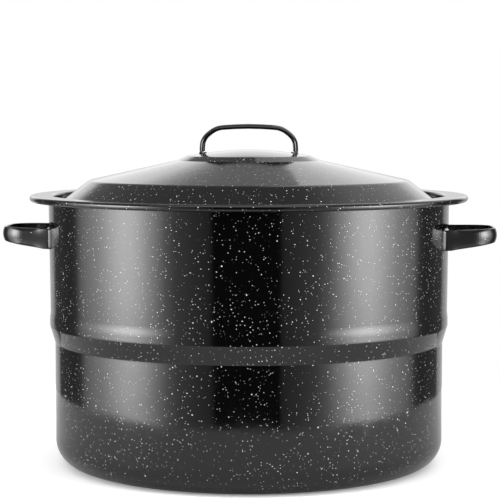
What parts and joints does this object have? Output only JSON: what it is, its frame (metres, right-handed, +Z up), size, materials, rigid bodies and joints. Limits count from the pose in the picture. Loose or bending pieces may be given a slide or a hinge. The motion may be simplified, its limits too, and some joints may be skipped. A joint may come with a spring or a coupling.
{
  "type": "water bath canner",
  "caption": "Speckled black enamelled steel pot with a stepped wall, strap grips, a loose domed lid with an arched handle, and a wire jar rack inside that hangs from two swing handles.",
  "frame": {"origin": "centre of the pot's flat base, on the surface it stands on", "axes": "+Z up, the pot's two side handles along +X and -X, front towards -Y"},
  "size_m": [0.4328, 0.3832, 0.2975],
  "materials": {
    "enamel_body": "gloss black porcelain enamel with fine white speckles",
    "enamel_lid": "gloss black porcelain enamel with fine white speckles",
    "enamel_handles": "gloss black porcelain enamel with few white speckles",
    "rack_wire": "bright plated steel wire"
  },
  "bodies": {
    "pot": {"pot_body": "enamel_body", "side_handle_left": "enamel_handles", "side_handle_right": "enamel_handles"},
    "rack": {"rack_base_ring": "rack_wire", "rack_upper_ring": "rack_wire", "rack_cross_rod": "rack_wire", "rack_grid_rod_01": "rack_wire", "rack_grid_rod_02": "rack_wire", "rack_grid_rod_03": "rack_wire", "rack_grid_rod_04": "rack_wire", "rack_grid_rod_05": "rack_wire", "rack_grid_rod_06": "rack_wire", "rack_grid_rod_07": "rack_wire", "rack_grid_rod_08": "rack_wire", "rack_grid_rod_09": "rack_wire", "rack_grid_rod_10": "rack_wire", "rack_grid_rod_11": "rack_wire", "rack_upright_front": "rack_wire", "rack_upright_back": "rack_wire", "rack_upright_left_front": "rack_wire", "rack_upright_left_back": "rack_wire", "rack_upright_right_front": "rack_wire", "rack_upright_right_back": "rack_wire"},
    "rack_handle_left": {"rack_handle_left": "rack_wire"},
    "rack_handle_right": {"rack_handle_right": "rack_wire"},
    "lid": {"lid_shell": "enamel_lid", "lid_handle": "enamel_handles"}
  },
  "joints": [
    {"name": "rack_lift", "type": "slide", "parent": "pot", "child": "rack", "axis": [0, 0, 1], "range_m": [0, 0.26]},
    {"name": "lid_lift", "type": "slide", "parent": "rack", "child": "lid", "axis": [0, 0, 1], "range_m": [0, 0.3]},
    {"name": "rack_handle_left_swing", "type": "hinge", "parent": "rack", "child": "rack_handle_left", "pos_m": [-0.12644, 0, 0.085], "axis": [0, 1, 0], "range_deg": [0, 64]},
    {"name": "rack_handle_right_swing", "type": "hinge", "parent": "rack", "child": "rack_handle_right", "pos_m": [0.12644, 0, 0.085], "axis": [0, -1, 0], "range_deg": [0, 64]}
  ]
}
